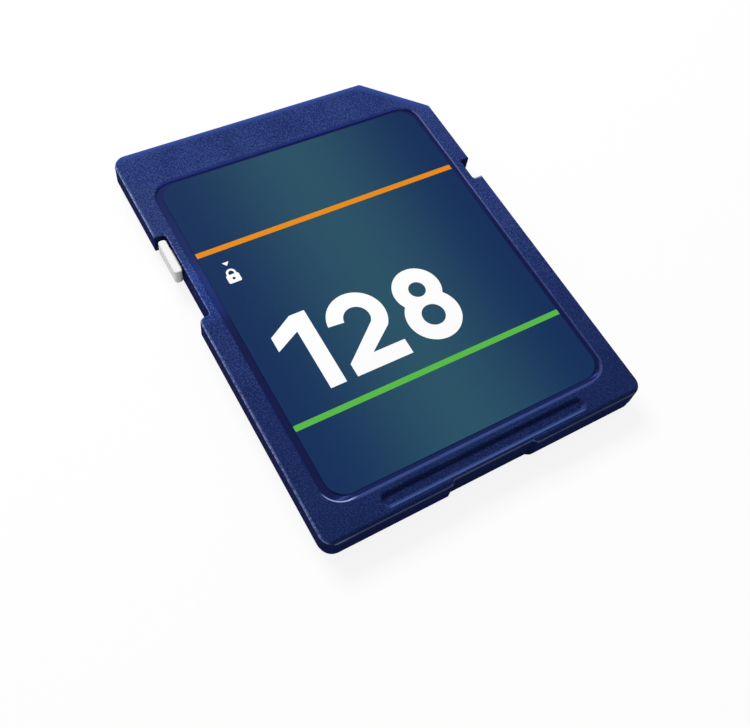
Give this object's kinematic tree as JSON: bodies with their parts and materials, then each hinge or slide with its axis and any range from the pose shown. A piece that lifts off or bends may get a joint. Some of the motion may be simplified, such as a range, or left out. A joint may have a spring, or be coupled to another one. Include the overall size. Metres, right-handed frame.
{
  "type": "memory card",
  "caption": "Flat plastic memory card with a cut corner, a label recess, an edge lock slider and gold contact pads, which stores files in a camera.",
  "frame": {"origin": "middle of the rear face, under the middle of the card's outline", "axes": "+X across the card to the right with the label up and the contacts away, +Y towards the contact end, +Z out of the label face"},
  "size_m": [0.024, 0.032, 0.0021],
  "materials": {
    "case_plastic": "dark blue moulded plastic with a fine spark-eroded grain",
    "slider_plastic": "white moulded plastic, satin",
    "label_film": "printed dark blue film, satin",
    "board_laminate": "glass-fibre laminate with green solder mask",
    "contact_gold": "gold-plated copper, smooth",
    "chip_resin": "black moulded resin, matt",
    "lead_metal": "tin-plated lead frame",
    "capacitor_ceramic": "tan ceramic with tinned ends",
    "resistor_ceramic": "black glass coat on ceramic with tinned ends"
  },
  "bodies": {
    "card": {"front_cover": "case_plastic", "rear_cover": "case_plastic", "front_label": "label_film", "circuit_board": "board_laminate", "flash_chip": "chip_resin", "controller_chip": "chip_resin", "contact_1": "contact_gold", "contact_2": "contact_gold", "contact_3": "contact_gold", "contact_4": "contact_gold", "contact_5": "contact_gold", "contact_6": "contact_gold", "contact_7": "contact_gold", "contact_8": "contact_gold", "contact_9": "contact_gold", "flash_leads_left": "lead_metal", "flash_leads_right": "lead_metal", "capacitor_1": "capacitor_ceramic", "capacitor_2": "capacitor_ceramic", "capacitor_3": "capacitor_ceramic", "capacitor_4": "capacitor_ceramic", "resistor_1": "resistor_ceramic", "resistor_2": "resistor_ceramic", "resistor_3": "resistor_ceramic", "resistor_4": "resistor_ceramic"},
    "slider": {"lock_slider": "slider_plastic"}
  },
  "joints": [
    {"name": "lock_slide", "type": "slide", "parent": "card", "child": "slider", "axis": [0, -1, 0], "range_m": [0, 0.0036]}
  ]
}
